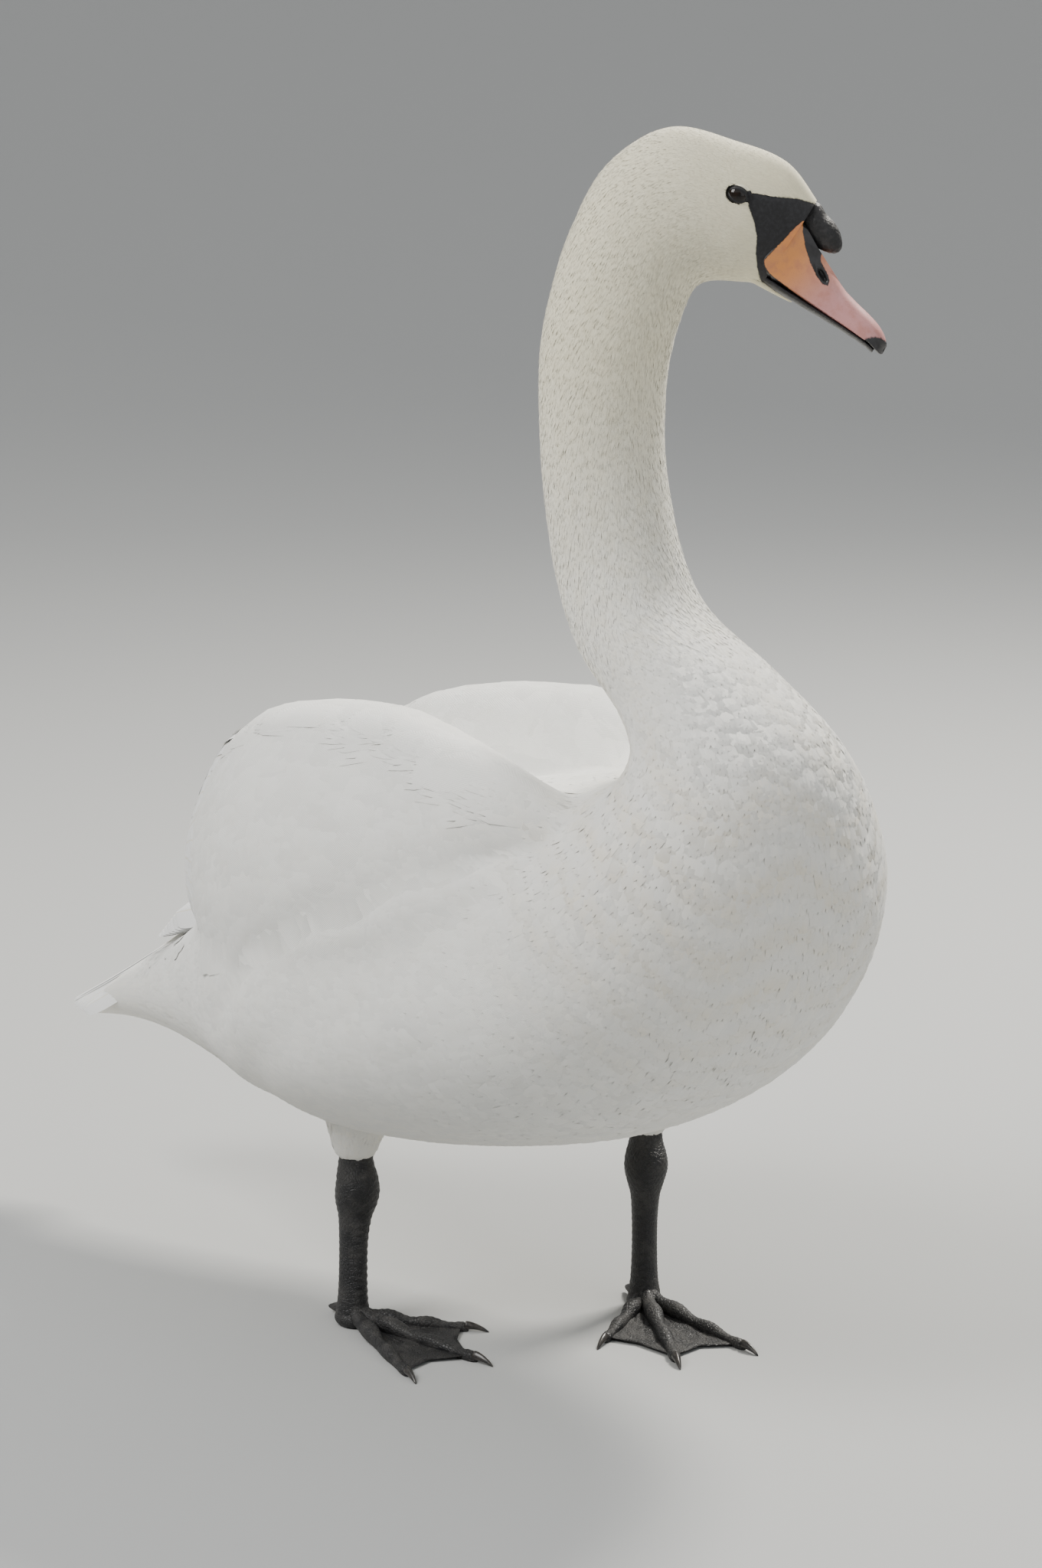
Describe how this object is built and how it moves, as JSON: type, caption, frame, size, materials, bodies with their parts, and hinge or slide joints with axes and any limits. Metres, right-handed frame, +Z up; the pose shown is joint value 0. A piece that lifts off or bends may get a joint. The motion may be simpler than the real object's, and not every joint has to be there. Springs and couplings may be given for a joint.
{
  "type": "mute swan",
  "caption": "Life-size mute swan model, standing on both webbed feet with a tall curved neck and its head turned to its left.",
  "frame": {"origin": "centre of the bounding box in plan, on the floor the bird stands on", "axes": "+X the way the breast faces, +Y the bird's left, +Z up"},
  "size_m": [0.7783, 0.3309, 0.8376],
  "materials": {
    "white_feather": "soft overlapping feathers",
    "cream_feather": "short velvety feathers",
    "bill": "satin horn, orange at the root and pinker to the tip",
    "black_bill": "rough black skin",
    "eye": "wet gloss",
    "leg_skin": "scaly black skin",
    "claw_horn": "worn horn"
  },
  "bodies": {
    "root": {"bill_knob": "black_bill", "bill_lower": "black_bill", "bill_upper": "bill", "claw_left_inner": "claw_horn", "claw_left_middle": "claw_horn", "claw_left_outer": "claw_horn", "claw_right_inner": "claw_horn", "claw_right_middle": "claw_horn", "claw_right_outer": "claw_horn", "eye_left": "eye", "eye_right": "eye", "foot_left": "leg_skin", "foot_right": "leg_skin", "head": "cream_feather", "neck_lower": "white_feather", "neck_middle": "cream_feather", "neck_upper": "cream_feather", "primaries_left": "white_feather", "primaries_right": "white_feather", "rump": "white_feather", "shank_left": "leg_skin", "shank_right": "leg_skin", "tail": "white_feather", "thigh_left": "white_feather", "thigh_right": "white_feather", "trunk": "white_feather", "wing_left": "white_feather", "wing_right": "white_feather"}
  },
  "joints": []
}
